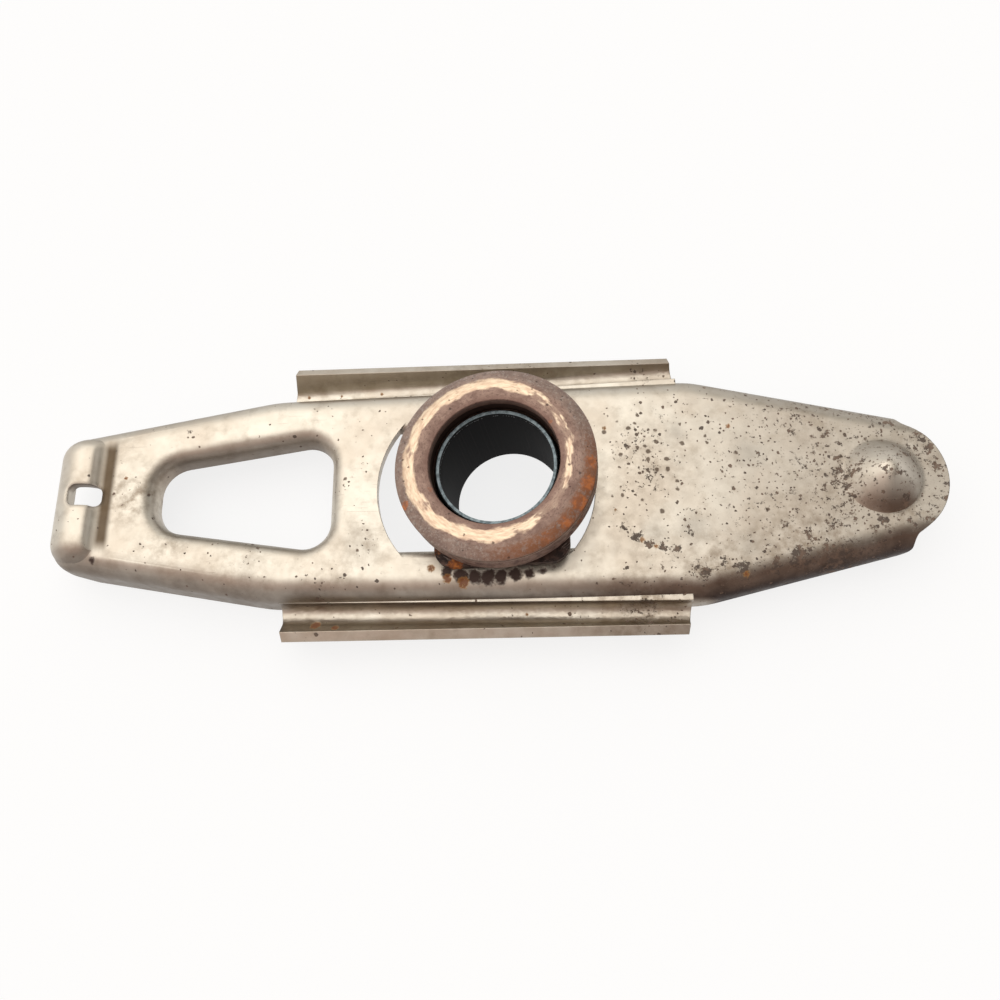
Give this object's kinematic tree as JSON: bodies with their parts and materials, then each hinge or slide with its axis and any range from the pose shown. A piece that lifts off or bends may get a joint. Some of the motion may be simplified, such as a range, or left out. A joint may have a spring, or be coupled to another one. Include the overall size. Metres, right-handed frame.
{
  "type": "clutch fork",
  "caption": "Pressed-steel clutch release fork, a ribbed tapering lever with a window, a pivot trough, a domed pushrod seat and a rocking release bearing.",
  "frame": {"origin": "where the guide bore's axis crosses the top face of the fork's web", "axes": "+X along the fork towards the domed pushrod end, +Y across the fork, +Z away from the web on the side the bearing pushes towards"},
  "size_m": [0.3417, 0.1134, 0.0509],
  "materials": {
    "plated_steel": "satin plating, pitted and stained with rust on the right half",
    "carrier_steel": "dark oxidised steel with rust",
    "sleeve_steel": "dark blue-grey worn steel",
    "snap_ring_steel": "dark spring steel",
    "housing_steel": "brown oxidised pressed steel",
    "rivet_steel": "dull steel",
    "spring_steel": "dark spring steel",
    "fixed_race_steel": "ground bearing steel",
    "contact_race_steel": "purple-brown oxidised steel with a bright worn ring",
    "ball_steel": "polished bearing steel",
    "cage_polymer": "moulded bearing cage",
    "seal_rubber": "black rubber"
  },
  "bodies": {
    "fork": {"fork": "plated_steel"},
    "carrier": {"carrier_plate": "carrier_steel", "guide_sleeve": "sleeve_steel", "sleeve_snap_ring": "snap_ring_steel", "bearing_housing": "housing_steel", "rivets": "rivet_steel", "spring_washer": "spring_steel", "fixed_race": "fixed_race_steel", "dust_seal": "seal_rubber"},
    "ball_set": {"bearing_balls": "ball_steel", "ball_cage": "cage_polymer"},
    "contact_race": {"contact_race": "contact_race_steel"}
  },
  "joints": [
    {"name": "carrier_rock", "type": "hinge", "parent": "fork", "child": "carrier", "pos_m": [-0.00059, 0, 0.0052], "axis": [0, 1, 0], "range_deg": [0, 13]},
    {"name": "race_spin", "type": "hinge", "parent": "carrier", "child": "contact_race", "pos_m": [0, 0, 0], "axis": [-0.1132, 0, 0.9936], "continuous": true},
    {"name": "ball_set_spin", "type": "hinge", "parent": "carrier", "child": "ball_set", "pos_m": [0, 0, 0], "axis": [-0.1132, 0, 0.9936], "continuous": true}
  ],
  "couplings": [
    {"joint": "ball_set_spin", "follows": "race_spin", "ratio": 0.4626}
  ]
}
